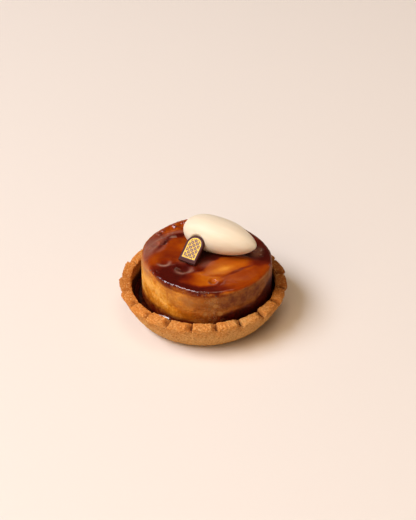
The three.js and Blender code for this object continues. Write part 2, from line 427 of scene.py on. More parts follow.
# Loose crumbs that baked on to the outside of the shell.
def strewCrumbs(shell, size):
    spots = shell.strewn(shell.attribute("rough").ramp(0.5, 1.0) * size["Density"], size["Seed"])
    crumb = shell.node("GeometryNodeMeshIcoSphere", {}, {"Radius": mm, "Subdivisions": 1})
    wide = shell.chance(size["Smallest"], size["Largest"], size["Seed"])
    spin = {0: (0, 0, 0), 1: (6.3, 6.3, 6.3), "Seed": size["Seed"] + 1}  # up to a whole turn on each axis
    spin = shell.node("FunctionNodeRandomValue", {"data_type": "FLOAT_VECTOR"}, spin)
    scale = shell.node("ShaderNodeCombineXYZ", {}, {0: wide, 1: wide * 1.3, 2: wide * 0.8})
    return spots.eachWith(crumb, spin, scale)


def crustMaterial():
    def varying(w):
        p = w.place()
        coarse = p.cloud(5.0, 3.0)
        grain = w.attribute("grain")
        fine = p.cloud(0.85, 3.0, (1, 1, 1.7), 0.7)
        browning = w.attribute("browning")
        baked = (browning + (coarse - 0.5) * 1.3).ramp(-0.1, 1.1)
        colour = baked.mix((0.66, 0.345, 0.105), (0.62, 0.228, 0.04))
        # The darkest toasted colour goes where browning runs high; at the right this is painted shade for
        # the apple's shadow on the lobes.
        colour = (browning.ramp(0.85, 1.7) * 0.85).mix(colour, (0.29, 0.085, 0.013))
        # Painted shade in the crumb's pits, and painted highlights on its peaks.
        colour = (grain.ramp(0.5, 0.36) * 0.5).mix(colour, (0.36, 0.105, 0.016))
        colour = (fine.ramp(0.47, 0.3) * 0.6).mix(colour, (0.30, 0.085, 0.013))
        colour = (fine.ramp(0.52, 0.68) * 0.6).mix(colour, (0.95, 0.62, 0.25))
        # Painted shade: the notches are darkened, and nearly black at their narrow bottoms, where the
        # crimp's crevices lie in shade.
        notch = w.attribute("notch")
        colour = (notch * 0.6).mix(colour, (0.22, 0.055, 0.005))
        colour = (notch.ramp(0.72, 0.95) * 0.8).mix(colour, (0.07, 0.014, 0.003))
        # Painted shade and caramel soak: the inner wall turns nearly black below the soaked height, also
        # where the trench lies in shade.
        colour = (w.attribute("stain") * 0.95).mix(colour, (0.035, 0.006, 0.002))
        return {
            "Base Color": colour,
            "Roughness": 0.85 - w.attribute("stain") * 0.5,
            "Normal": fine.relief(0.6),
        }

    fixed = {
        "Specular IOR Level": 0.15,
        "Subsurface Weight": 0.06,
        "Subsurface Radius": (1.0, 0.5, 0.25),
        "Subsurface Scale": 1.0 * mm,
    }
    return makeMaterial("bakedShortcrust", fixed, varying)


bakedShortcrust = crustMaterial()
plainShell = latheShell()
shell = growFrom(plainShell, "shortcrust", crust["crimp"], crimpLip, bakedShortcrust)
crumbs = growFrom(shell, "crustCrumbs", crust["crumbs"], strewCrumbs, bakedShortcrust)
bpy.data.objects.remove(plainShell)
settle(shell, None, "crust")
settle(crumbs, None)


caramel = {"floor": 4.8, "level": 9.1, "climb": 1.3, "columns": 256}


def makeCaramel():
    angle = np.arange(caramel["columns"]) / caramel["columns"] * 2 * math.pi
    wave = 0.25 * np.sin(3 * angle + 0.6) + 0.18 * np.sin(7 * angle + 2.0) + 0.1 * np.sin(13 * angle)
    floor, level, climb = caramel["floor"], caramel["level"], caramel["climb"] + wave
    still = np.zeros_like(angle)
    points = [
        (still, still + floor),
        (still + 28.5, still + floor),
        (still + 31.6, still + 6.9),
        (still + 32.6, level + climb * 0.4),
        (33.05 + 0.04 * wave, level + climb),
        (still + 32.4, level + climb * 0.55),
        (still + 31.4, level + climb * 0.1),
        (still + 29.5, still + level),
        (still + 15, still + level),
        (still, still + level),
    ]
    section = np.stack([np.stack(p, axis=-1) for p in points], axis=-2)
    section = throughPoints(section, [4] * 9)[:, 1:-1].transpose(1, 0, 2)
    radius, z = section[..., 0], section[..., 1]
    grid = np.stack([radius * np.cos(angle), radius * np.sin(angle), z], axis=-1)
    grid[..., 2] += 0.12 * lumps(grid, 5.0, 2, seed=5) * smooth(radius, 20, 26) * smooth(z, 8, 9)
    return closedSkin("caramelPool", grid)


def caramelMaterial():
    def varying(w):
        p = w.place()
        colour = p.cloud(3.5, 3.0).ramp(0.35, 0.75).mix((0.03, 0.0035, 0.0015), (0.10, 0.014, 0.003))
        return {"Base Color": colour, "Normal": p.cloud(2.5, 2).relief(0.25)}

    fixed = {
        "Roughness": 0.2,
        "Specular IOR Level": 0.2,
        "Coat Weight": 1.0,
        "Coat Roughness": 0.05,
        "Coat IOR": 1.8,
    }
    return makeMaterial("darkCaramel", fixed, varying)


darkCaramel = caramelMaterial()
pool = makeCaramel()
settle(pool, darkCaramel, "caramel")


apple = {
    "x": 1.6,
    "y": 0.0,
    "radius": 30.9,
    "oval": 1.4,
    "ovalTurn": 125,
    "corners": 0.4,
    "bottom": 9.3,
    "top": 32.2,
    "edge": 1.1,
    # At the left the edge is rounder: the angle of the middle, the reach in degrees and the extra radius.
    "shoulder": (189, 19, 2.6),
    # At the front the edge is cut back, and falls steeply from a crest: the angles where that begins and
    # ends, how much lower and further in it reaches, and its slope in degrees from the side to the top.
    "crest": {
        "begins": (218, 256),
        "ends": (312, 278),
        "down": 1.6,
        "in": 1.1,
        "slope": ((0, 0.25, 0.72, 1), (0, 32, 42, 90)),
    },
    "columns": 480,
    "rings": 116,
    "sideRows": 63,
    "edgeRows": 16,
    "poolTone": 0.19,
    "layer": 7.2,
    # Slices in the top, in the order in which they were laid. tone runs from 0, a pool of dark caramel, to
    # 1, pale amber, and changes by fade from one end of a slice to the other. haze is a milky bloom.
    "slices": [
        {"x": 5, "y": 21, "turn": 15, "long": 17, "wide": 9, "bend": 0.008,
         "lift": 0.1, "lean": 0.02, "tone": 0.5, "fade": 0.1, "haze": 0.1, "soft": 0.5},
        {"x": 21, "y": 11, "turn": -52, "long": 14, "wide": 8, "bend": 0.006,
         "lift": 0.0, "lean": 0.0, "tone": 0.3, "fade": 0.1, "haze": 0.0, "soft": 0.6},
        {"x": 20, "y": -17.0, "turn": 38, "long": 17.5, "wide": 10, "bend": 0.008,
         "lift": 0.1, "lean": -0.03, "tone": 0.53, "fade": 0.06, "haze": 0.0, "soft": 0.45},
        {"x": -1.5, "y": -20.5, "turn": 10, "long": 12.5, "wide": 7.5, "bend": 0.006,
         "lift": 0.1, "lean": 0.03, "tone": 0.68, "fade": 0.04, "haze": 0.0, "soft": 0.6},
        {"x": -17, "y": 19.5, "turn": 42, "long": 19, "wide": 7.5, "bend": 0.014,
         "lift": 0.6, "lean": 0.05, "tone": 0.42, "fade": 0.1, "haze": 0.0, "soft": 0.4},
        {"x": -16, "y": 3.0, "turn": 48, "long": 16, "wide": 10.5, "bend": 0.004,
         "lift": -0.2, "lean": -0.03, "tone": 0.46, "fade": 0.06, "haze": 0.0, "soft": 0.4},
        {"x": 12, "y": -8.7, "turn": 22, "long": 15.5, "wide": 7.6, "bend": 0.012,
         "lift": 0.25, "lean": -0.03, "tone": 0.62, "fade": 0.07, "haze": 0.2, "soft": 0.38},
    ],
    # Where caramel lies thicker or thinner over the slices: x, y, reach along and across, turn and tone. The
    # dark one at (-4.2, -3.8), under the cream beside the plaque, is dark caramel with the cream's shadow
    # painted in.
    "stainsAndShadow": [
        (-12.5, -15, 9.5, 5.6, -42, 0.15),
        (-21, -14, 8, 2.6, -48, 0.2),
        (-10, -25, 13, 2.4, -22, 0.16),
        (-23.5, -4, 7, 4.0, 75, 0.55),
        (-14.5, -1.5, 6.5, 3.5, 45, 0.4),
        (-8.5, 7.0, 4.5, 3.5, 60, 0.6),
        (-21.5, 15.2, 3.4, 1.4, 48, 0.33),
        (-11.0, 23.0, 8.0, 3.0, 22, 0.6),
        (-26, 6, 10, 3.0, 75, 0.36),
        (-18.6, 10.2, 7, 1.3, 60, 0.12),
        (-12.0, 16.0, 6, 1.2, 20, 0.14),
        (-9, -4.5, 3.2, 2.4, 50, 0.7),
        (3.5, -28, 8, 2.2, 4, 0.22),
        (8.2, -24.5, 5, 1.8, 62, 0.34),
        (-4.2, -3.8, 6.2, 5.0, 20, 0.12),
        (-3.5, -11.5, 5, 3.0, 35, 0.3),
        (9.0, -13.0, 6, 2.4, 30, 0.86),
        (17.0, -13.2, 8.5, 0.8, 34, 0.3),
        (6.5, -17.8, 4.0, 0.7, 4, 0.5),
        (27, 4, 13, 5, 82, 0.2),
        (26, -7, 4.5, 2.2, 10, 0.3),
        (12, -30, 4.0, 0.8, 8, 0.74),
    ],
    # A stain as dark as this takes the painted sheen away.
    "clearTone": 0.17,
    # Round dents that bubbles left in the set caramel, and lumps in it: x, y, radius and depth.
    "dents": [
        (-9.2, -11.8, 4.4, 0.8), (4.6, -22.3, 2.3, 0.9), (-18.6, -6.6, 3.4, 0.5), (-21.5, -14.2, 1.1, 0.35),
        (-19.0, 9.8, 1.8, 0.6), (25.0, 2.5, 1.6, 0.4), (27.4, -1.0, 1.3, 0.4),
        (-21.5, 18.5, 1.8, -0.7), (-19.5, 20.8, 1.4, -0.6),
        (27.6, 3.8, 1.4, -0.6), (24.0, 6.5, 1.6, -0.6),
    ],
    # Folds of caramel at the back left: x, y, reach along and across, turn, height and tone.
    "folds": [
        (-13.6, 23.3, 3.0, 0.8, -37, 0.9, 0.34),
        (-9.5, 25.9, 1.3, 0.75, -35, 0.85, 0.34),
    ],
    # Where pale mauve reflections of the surroundings are painted on the glaze, a painted sheen: x, y, reach
    # along and across, turn and strength.
    "sheens": [
        (-25.5, 7, 10, 4.2, 66, 0.75),
        (-17.5, 14.0, 5.5, 2.0, 48, 0.6),
        (-10.5, 18.6, 6.5, 1.5, 10, 0.5),
        (-20.0, 5.0, 4.0, 1.2, 52, 0.45),
        (25.5, 1.8, 4.2, 2.4, 70, 0.9),
        (1.5, -7.5, 4.0, 2.6, 20, 0.45),
        (-9.5, -5.6, 2.4, 2.0, 40, 0.35),
        (-15.6, -8.9, 2.4, 0.8, 20, 0.5),
    ],
    # What shows at the side: angle and height of the middle, reach along and up, turn, tone and haze. The
    # one at 328 degrees on the top edge is a painted highlight.
    "marks": [
        (190, 29.5, 8, 4.0, 0, 0.9, 0.9),
        (192, 20, 9, 6.5, 0, 0.98, 0.0),
        (212, 21, 12, 7.0, 8, 0.97, 0.15),
        (243, 25, 12, 5.0, -16, 0.84, 0.6),
        (205, 17, 8, 3.2, -30, 0.84, 0.0),
        (236, 18, 12, 2.9, -6, 0.88, 0.0),
        (256, 25.5, 6, 2.6, -10, 0.7, 1.0),
        (266, 24, 4.0, 3.0, 0, 0.52, 0.3),
        (277, 24, 3.0, 7.0, 0, 0.44, 0.7),
        (297, 26, 9.5, 4.6, 6, 0.29, 0.3),
        (262, 18.5, 9.0, 3.0, 0, 0.54, 0.0),
        (292, 21.8, 5.0, 1.4, 0, 0.56, 0.2),
        (318, 27, 5.0, 4.0, 0, 0.32, 0.28),
        (284, 18.0, 9.0, 2.4, 0, 0.3, 0.05),
        (277.6, 25.2, 1.0, 0.9, 0, 0.9, 2.5),
        (281.0, 20.7, 1.2, 1.1, 0, 0.6, 2.0),
        (269.2, 20.6, 0.9, 1.0, 0, 0.6, 1.6),
        (40, 25, 10, 4.0, 6, 0.56, 0.3),
        (75, 19, 12, 3.5, -5, 0.5, 0.1),
        (100, 27, 12, 3.0, 4, 0.7, 0.4),
        (135, 20, 12, 4.0, -8, 0.78, 0.1),
        (160, 27, 9, 3.5, 5, 0.84, 0.5),
        # A painted highlight along the top edge at the right.
        (328, 31.2, 6.0, 0.8, 0, 0.6, 0.8),
        (273, 31.3, 2.4, 0.5, 0, 0.86, 0.0),
        (289, 31.6, 4.5, 0.5, 4, 0.68, 0.1),
    ],
    # A mark above this height lies over the dark band that runs under the edge.
    "bandHeight": 31,
    # The side's noise is read on a ring of this radius.
    "noiseRing": 30.7,
}


def appleRadius(angle):
    swing = apple["oval"] * np.cos(2 * (angle - math.radians(apple["ovalTurn"])))
    return apple["radius"] + swing + apple["corners"] * np.cos(4 * angle)


# How far a place is along and across something with its own middle and turn.
def local(x, y, middleX, middleY, turn):
    turn = math.radians(turn)
    dx, dy = x - middleX, y - middleY
    return dx * math.cos(turn) + dy * math.sin(turn), dy * math.cos(turn) - dx * math.sin(turn)


# The lift, tone, haze and painted sheen of the top at a place.
def layTop(x, y):
    lift = np.zeros_like(x)
    tone = np.full_like(x, apple["poolTone"])
    haze = np.zeros_like(x)
    veil = np.zeros_like(x)
    flat = np.stack([x, y, np.zeros_like(x)], axis=-1)
    wander = 0.9 * lumps(flat, 5.0, 3, seed=12)
    for piece in apple["slices"]:
        along, across = local(x, y, piece["x"], piece["y"], piece["turn"])
        across = across + piece["bend"] * along**2 + wander
        inside = 1 - (along / piece["long"]) ** 2 - (across / piece["wide"]) ** 2
        cover = smooth(inside, 0, piece["soft"])
        own = piece["lift"] + piece["lean"] * across + 0.3 * inside
        lift += (own - lift) * smooth(inside, 0, 0.4)
        tone += (piece["tone"] + piece["fade"] * along / piece["long"] - tone) * cover
        haze += (piece["haze"] * smooth(-along, -9, 6) * smooth(across, piece["wide"], 0) - haze) * cover
    for sheenX, sheenY, long, wide, turn, strength in apple["sheens"]:
        along, across = local(x, y, sheenX, sheenY, turn)
        reach = (along / long) ** 2 + ((across + 0.6 * wander) / wide) ** 2
        veil += (strength - veil) * np.exp(-(reach**1.5))
    # Caramel stains, and one painted shadow under the cream.
    for stainAndShadowX, stainAndShadowY, long, wide, turn, stainAndShadowTone in apple["stainsAndShadow"]:
        along, across = local(x, y, stainAndShadowX, stainAndShadowY, turn)
        reach = (along / long) ** 2 + ((across + 0.5 * wander) / wide) ** 2
        cover = np.exp(-(reach**1.3))
        tone += (stainAndShadowTone - tone) * cover
        veil -= veil * cover * (stainAndShadowTone < apple["clearTone"])
    for dentX, dentY, radius, depth in apple["dents"]:
        share = np.hypot(x - dentX, y - dentY) / radius
        lift += depth * (0.2 * hump(share - 1.1, 0.25) - smooth(share, 1.05, 0.2))
        tone -= 0.05 * smooth(share, 1.0, 0.5)
        # Painted reflection: a pale crescent on the near rim of each dent.
        near = smooth((x - dentX) * 0.3 + (dentY - y) * 0.95, -0.4 * radius, 0.7 * radius)
        veil += 1.1 * hump(share - 0.8, 0.26) * near * smooth(radius, 1.2, 2.4) * (depth > 0)
    for foldX, foldY, long, wide, turn, high, foldTone in apple["folds"]:
        along, across = local(x, y, foldX, foldY, turn)
        cover = np.exp(-(along / long) ** 2 - (across / wide) ** 2)
        lift += high * cover
        tone += (foldTone - tone) * np.sqrt(cover)
    # The back left lies lower, past a slope that faces back.
    angle = np.arctan2(y, x - apple["x"])
    degree = np.degrees(angle) % 360
    inset = appleRadius(angle) - np.hypot(x - apple["x"], y)
    falling = smooth(degree, 100, 140) * smooth(degree, 205, 175)
    edgeOfFall = 9.5 - 3.5 * smooth(degree, 145, 175)
    lift -= 1.7 * falling * smooth(inset + 0.5 * wander, edgeOfFall, edgeOfFall - 6.0)
    lift -= 0.4 * smooth(inset, 2.5, 0) ** 1.5
    return lift, tone, haze, veil


def laySide(angle, z):
    degree = np.degrees(angle) % 360
    arc = np.radians(degree) * apple["radius"]
    ring = np.stack([apple["noiseRing"] * np.cos(angle), apple["noiseRing"] * np.sin(angle), z], axis=-1)
    wander = lumps(ring, 8.0, 3, seed=14)
    # Slices lie on their flats in layers, each a little askew.
    layer = (z + 1.6 * wander + 0.9 * np.sin(3 * angle + 2.2)) / apple["layer"]
    within = layer - np.floor(layer)
    order = np.floor(layer)
    askew = degree / 36 + order * 0.37 + (within - 0.5) * 0.5 * np.sin(order * 2.1)
    end = askew - np.floor(askew)
    seam = np.maximum(smooth(np.abs(within - 0.5), 0.42, 0.5), smooth(np.abs(end - 0.5), 0.46, 0.5) * 0.8)
    seam = seam * smooth(wander, -0.5, 0.2)
    # A number of its own for each slice, from -1 to 1.
    own = np.sin(12.9898 * order + 4.1 * (np.floor(askew) % 10))
    bulge = 0.15 * (1 - (2 * within - 1) ** 4) + 0.08 * own - 0.04 * seam

    # Painted light and shade: the side is lighter at the left, toward the key light, and darker at the
    # right, which lies in shade.
    left = smooth(degree, 268, 225) * smooth(degree, 140, 185)
    right = smooth(degree, 262, 300) + smooth(degree, 120, 60)
    tone = 0.58 + 0.24 * left - 0.2 * np.clip(right, 0, 1) + 0.05 * own
    haze = 0.35 + 0.12 * own
    # A band of darker caramel runs under the edge, deepest at the front.
    low = 29.0 + 2.4 * smooth(degree, 225, 200) + 1.0 * smooth(degree, 270, 300)
    cap = smooth(z + 0.5 * wander, low, low + 1.2) * (0.9 - 0.5 * smooth(degree, 275, 300))
    cap = cap * smooth(degree, 196, 216) * smooth(degree, 359, 330)
    for markAngle, markZ, long, wide, turn, markTone, markHaze in apple["marks"]:
        along, across = local(arc, z, math.radians(markAngle) * apple["radius"], markZ, turn)
        across = across + min(1.2, wide / 4) * wander
        cover = np.exp(-(((along / long) ** 2 + (across / wide) ** 2) ** 1.6))
        if markZ > apple["bandHeight"]:
            cap = cap * (1 - cover)
        tone += (markTone - tone) * cover
        haze += (markHaze - haze) * cover
    tone += (0.3 - tone) * cap
    haze = haze * (1 - cap)
    tone -= 0.04 * seam
    # Its foot is soaked with dark caramel; the dark stands highest at the right, where it is also painted
    # shade on the block's shaded side.
    soakedAndShaded = 15.5 - 1.0 * left + 6.0 * smooth(degree, 274, 292) + 5 * smooth(degree, 310, 338)
    soakedAndShaded += 11 * smooth(degree, 60, 0)
    soakedAndShaded = smooth(z + 0.6 * wander, soakedAndShaded + 1.8, soakedAndShaded - 1.8)
    tone += (0.06 - tone) * soakedAndShaded * (0.75 + 0.2 * smooth(degree, 280, 300))
    haze = haze * (1 - soakedAndShaded)
    return bulge, tone, haze


def makeApple():
    angle = np.arange(apple["columns"]) / apple["columns"] * 2 * math.pi
    degree = np.degrees(angle)
    radius = appleRadius(angle)
    outward = np.stack([np.cos(angle), np.sin(angle)], axis=-1)
    centre = np.array([apple["x"], apple["y"]])
    middle, reach, extra = apple["shoulder"]
    edge = apple["edge"] + extra * hump(degree - middle, reach)
    cut = apple["crest"]
    crest = smooth(degree, *cut["begins"]) * smooth(degree, *cut["ends"])
    edgeDown = edge + cut["down"] * crest
    edge = edge + cut["in"] * crest
    edgeTop = apple["top"] - edgeDown
    rows, tones, hazes, glosses, sheenRows = [], [], [], [], []

    def addRow(r, z, tone, haze, gloss, veil):
        xy = centre + outward * r[:, None]
        rows.append(np.concatenate([xy, z[:, None]], axis=1))
        tones.append(tone)
        hazes.append(haze)
        glosses.append(gloss)
        sheenRows.append(veil)

    def atTop(r):
        xy = centre + outward * r[:, None]
        lift, tone, haze, veil = layTop(xy[:, 0], xy[:, 1])
        return apple["top"] + lift, tone, haze, veil

    # A pale painted highlight on the rounder part of the edge.
    def paleAt(z):
        return 0.5 * hump(degree - middle, reach) * smooth(z, 25, 30)

    still = np.zeros_like(angle)
    for share in (0.3, 0.7, 0.95):
        addRow(radius * share, still + apple["bottom"], still + 0.2, still, still, still)
    for level in np.linspace(0, 1, apple["sideRows"]):
        z = apple["bottom"] + 0.5 + (edgeTop - apple["bottom"] - 0.5) * level
        bulge, tone, haze = laySide(angle, z)
        addRow(radius + bulge * smooth(z, edgeTop, edgeTop - 2), z, tone, haze, still + 0.1, paleAt(z))
    # Two profiles from the side, 0, to the top, 1: a quarter round, and the crest's slope.
    pale = paleAt(edgeTop)
    steps = np.arange(1, apple["edgeRows"] + 1) / apple["edgeRows"]
    slant = np.radians(np.interp(steps, *cut["slope"]))
    cutIn, cutUp = np.cumsum(np.sin(slant)), np.cumsum(np.cos(slant))
    for step, slopeIn, slopeUp in zip(steps, cutIn / cutIn[-1], cutUp / cutUp[-1]):
        turn = step * math.pi / 2
        inwards = 1 - math.cos(turn) + (slopeIn - 1 + math.cos(turn)) * crest
        upwards = math.sin(turn) + (slopeUp - math.sin(turn)) * crest
        r = radius - edge * inwards
        topZ, topTone, topHaze, veil = atTop(r)
        z = edgeTop + (topZ - edgeTop) * upwards
        _, sideTone, sideHaze = laySide(angle, z)
        share = smooth(upwards, 0.3, 1)
        mixed = (sideTone + (topTone - sideTone) * share, sideHaze + (topHaze - sideHaze) * share)
        gloss = 0.1 + 0.9 * smooth(upwards - 0.55 * crest, 0.2, 0.7 - 0.28 * crest)
        addRow(r, z, *mixed, gloss, pale + (veil - pale) * share)
    for ring in range(1, apple["rings"]):
        r = (radius - edge) * (1 - ring / apple["rings"])
        z, tone, haze, veil = atTop(r)
        addRow(r, z, tone, haze, still + 1, veil)

    grid = np.array(rows)
    z = grid[..., 2]
    # Soft lumps in the caramel on top, in its edge, and in the fruit at the side.
    onTop = smooth(z, 31.0, 32)
    fromEdge = radius - np.hypot(grid[..., 0] - apple["x"], grid[..., 1])
    atEdge = hump(fromEdge - 0.5 * edge, 0.6 * edge) * smooth(z, 28, 30)
    backLeft = smooth(grid[..., 1] - grid[..., 0], 24, 36) * onTop * smooth(fromEdge, 0.8, 2.6)
    wavy = lumps(grid, 7.0, 3, seed=2)
    fine = lumps(grid, 2.4, 2, seed=8)
    beady = lumps(grid, 1.2, 2, seed=9)
    grid[..., 2] += onTop * (0.07 * wavy + (0.01 + 0.3 * backLeft) * fine)
    fruit = (1 - onTop) * smooth(z, 9.3, 11)
    push = fruit * (0.2 * lumps(grid, 5.0, 2, seed=4) + 0.05 * fine) + 0.12 * atEdge * beady
    grid[..., :2] += outward * push[..., None]
    grid[..., 2] += 0.08 * atEdge * beady
    tone = np.array(tones) + 0.05 * wavy + (0.03 + 0.12 * backLeft) * fine
    frontLeft = smooth(degree, 196, 212) * smooth(degree, 285, 262)
    layers = {
        "tone": np.clip(tone, 0, 1),
        "haze": np.array(hazes),
        "veil": np.array(sheenRows),
        "gloss": np.array(glosses),
        "beaded": atEdge**2 * smooth(z, 29.5, 30.5) * (0.06 + 0.94 * frontLeft),
        "foam": hump(degree - 274, 9) * smooth(z, 13, 17) * smooth(z, 31, 28) * (1 - onTop),
    }
    return closedSkin("appleBlock", grid, layers)


def appleMaterial():
    def varying(w):
        p = w.place()
        fibres = p.cloud(1.2, 3.0, (1, 1, 0.8), 0.7)
        soft = p.cloud(6.0, 3.0)
        side = 1 - w.attribute("gloss")
        tone = w.attribute("tone") + (fibres - 0.5) * (0.03 + side * 0.42)
        tone = tone + (soft - 0.5) * (0.14 + side * 0.3)
        stops = [
            (0.0, (0.020, 0.0014, 0.0009)),
            (0.2, (0.075, 0.0040, 0.0014)),
            (0.35, (0.155, 0.0125, 0.0014)),
            (0.5, (0.26, 0.037, 0.0013)),
            (0.65, (0.39, 0.082, 0.0020)),
            (0.8, (0.54, 0.165, 0.0070)),
            (0.9, (0.70, 0.28, 0.026)),
            (1.0, (0.84, 0.43, 0.09)),
        ]
        colour = tone.node("ShaderNodeValToRGB", {"stops": stops}, {0: tone})
        colour = (side * tone.ramp(0.85, 0.6) * tone.ramp(0.2, 0.42) * 0.4).mix(colour, (0.23, 0.096, 0.009))
        strand = (p.cloud(4.5, 3.0, (1, 1, 1.8)) - 0.5).math("ABSOLUTE").ramp(0.035, 0.005)
        colour = (side * strand * tone.ramp(0.25, 0.5) * 0.16).mix(colour, (0.66, 0.34, 0.11))
        milky = w.attribute("haze") * (0.6 + p.cloud(3.0, 3.0).ramp(0.35, 0.65) * 0.4)
        colour = milky.mix(colour, (0.37, 0.158, 0.043))
        # Painted reflections: a pale mauve sheen where the sheen attribute says.
        colour = (w.attribute("veil") * (0.75 + fibres * 0.5)).mix(colour, (0.27, 0.113, 0.08))
        bubble = p.cells(1.9)
        rim = bubble.ramp(0.2, 0.32) * bubble.ramp(0.46, 0.36)
        colour = (w.attribute("foam") * rim * 0.35).mix(colour, (0.46, 0.24, 0.10))
        wet = p.cloud(2.5, 2.0).ramp(0.56, 0.68) * 0.15
        glazed = w.attribute("gloss") * (1 - tone.ramp(0.33, 0.52) * 0.65)
        return {
            "Base Color": colour,
            "Roughness": 0.4 + side * 0.2,
            "Coat Weight": glazed.math("MAXIMUM", wet),
            "Normal": (fibres * (0.3 + side) + soft * 0.4 + w.attribute("foam") * rim).relief(0.2),
        }

    fixed = {
        "Specular IOR Level": 0.03,
        "Subsurface Weight": 0.2,
        "Subsurface Radius": (1.0, 0.35, 0.08),
        "Subsurface Scale": 2.5 * mm,
        "Coat Roughness": 0.035,
        "Coat IOR": 1.5,
    }
    return makeMaterial("caramelisedApple", fixed, varying)


candied = appleMaterial()
block = makeApple()
settle(block, candied, "apple")


# How many beads to the square metre, the radius of the smallest and the largest, and height over radius.
beads = {"Density": 500000.0, "Smallest": 0.1, "Largest": 0.42, "Flatness": 0.6, "Seed": 21}


# Beads of caramel that set along the top edge, as dense as the block's beaded attribute says.
def strewBeads(surface, size):
    spots = surface.strewn(surface.attribute("beaded") * size["Density"], size["Seed"])
    normal = Wire(spots.tree, spots.socket.node.outputs["Normal"])
    facing = spots.node("FunctionNodeAlignRotationToVector", {"axis": "Z"}, {"Vector": normal})
    dome = surface.node("GeometryNodeMeshIcoSphere", {}, {"Radius": mm, "Subdivisions": 2})
    dome = dome.node("GeometryNodeSetShadeSmooth", {}, {"Geometry": dome})
    chance = surface.chance(0.0, 1.0, size["Seed"])
    width = size["Smallest"] + (size["Largest"] - size["Smallest"]) * chance * chance
    scale = surface.node("ShaderNodeCombineXYZ", {}, {0: width, 1: width, 2: width * size["Flatness"]})
    return spots.eachWith(dome, facing, scale)


drops = growFrom(block, "caramelBeads", beads, strewBeads, darkCaramel)
settle(drops, None)


# Caramel that ran on to the shell's lip and set there. from, to and lean are angles in degrees.
dribble = {
    "from": 233.5,
    "to": 244.5,
    "radius": 34.95,
    "z": 17.75,
    "wide": 0.75,
    "high": 0.22,
    "lean": 41,
    "steps": 48,
    "sides": 24,
}


def makeDribble():
    t = np.linspace(0, 1, dribble["steps"])[:, None]
    turn = np.radians(dribble["from"] + (dribble["to"] - dribble["from"]) * t)
    around = (np.arange(dribble["sides"]) / dribble["sides"] * 2 * math.pi)[None, :]
    size = np.sqrt(np.clip(1 - (2 * t - 1) ** 2, 0.0004, 1))
    size = size * (1 + 0.25 * np.sin(17 * t) + 0.15 * np.sin(31 * t))
    lean = math.radians(dribble["lean"])
    broad, thick = dribble["wide"] * size * np.cos(around), dribble["high"] * size * np.sin(around)
    radius = dribble["radius"] + 0.1 * np.sin(9 * t) + broad * math.cos(lean) + thick * math.sin(lean)
    z = dribble["z"] - 0.15 * np.abs(2 * t - 1) - broad * math.sin(lean) + thick * math.cos(lean)
    grid = np.stack([radius * np.cos(turn), radius * np.sin(turn), z], axis=-1)
    return closedSkin("caramelDribble", grid[::-1])


spill = makeDribble()
settle(spill, darkCaramel)


plaque = {
    "x": -7.4,
    "y": -7.8,
    "turn": -31,
    "tilt": 37,
    "width": 9.2,
    "height": 13.8,
    "thickness": 1.8,
    "foot": 32.55,
    "round": 0.42,
    "arcSteps": 40,
    "gap": 0.05,  # how far behind its back the cream starts
    # The print: its margin at the foot, how far in its border lies, and the lattice's spacing.
    "margin": 0.8,
    "border": 1.4,
    "lattice": 2.5,
}


def plaqueFrame():
    turn, tilt = math.radians(plaque["turn"]), math.radians(plaque["tilt"])
    across = np.array([math.cos(turn), math.sin(turn), 0])
    up = np.array([-math.sin(turn) * math.cos(tilt), math.cos(turn) * math.cos(tilt), math.sin(tilt)])
    foot = np.array([plaque["x"], plaque["y"], plaque["foot"]])
    return foot, across, up, np.cross(across, up)


# The outline of an arch, drawn in by inset all round, counter-clockwise from the foot's left corner.
def archOutline(inset):
    half = plaque["width"] / 2 - inset
    straight = plaque["height"] - plaque["width"] / 2
    foot = [(u, inset) for u in np.linspace(-half, half, 24)]
    right = [(half, v) for v in np.linspace(inset, straight, 24)[1:-1]]
    arc = [(half * math.cos(a), straight + half * math.sin(a))
           for a in np.linspace(0, math.pi, plaque["arcSteps"])]
    left = [(-half, v) for v in np.linspace(straight, inset, 24)[1:-1]]
    return np.array(foot + right + arc + left)


def makePlaque():
    thick, soft = plaque["thickness"], plaque["round"]
    levels = [(3.5, 0.0), (2.0, 0.0), (soft * 1.6, 0.0)]
    levels += [(soft * (1 - math.sin(a)), soft * (1 - math.cos(a)))
               for a in np.linspace(0.3, math.pi / 2, 5)]
    levels += [(soft * (1 - math.cos(a)), thick - soft * (1 - math.sin(a)))
               for a in np.linspace(0, math.pi / 2 - 0.25, 6)]
    levels += [(soft * 1.3, thick - 0.02), (1.0, thick - 0.08), (2.0, thick - 0.1), (3.5, thick - 0.1)]
    foot, across, up, out = plaqueFrame()
    grid, flat = [], []
    for inset, depth in levels:
        outline = archOutline(inset)
        flat.append(outline)
        grid.append(foot + outline[:, :1] * across + outline[:, 1:] * up + depth * out)
    flat = np.array(flat)
    return closedSkin("chocolatePlaque", np.array(grid), {"faceX": flat[..., 0], "faceY": flat[..., 1]})


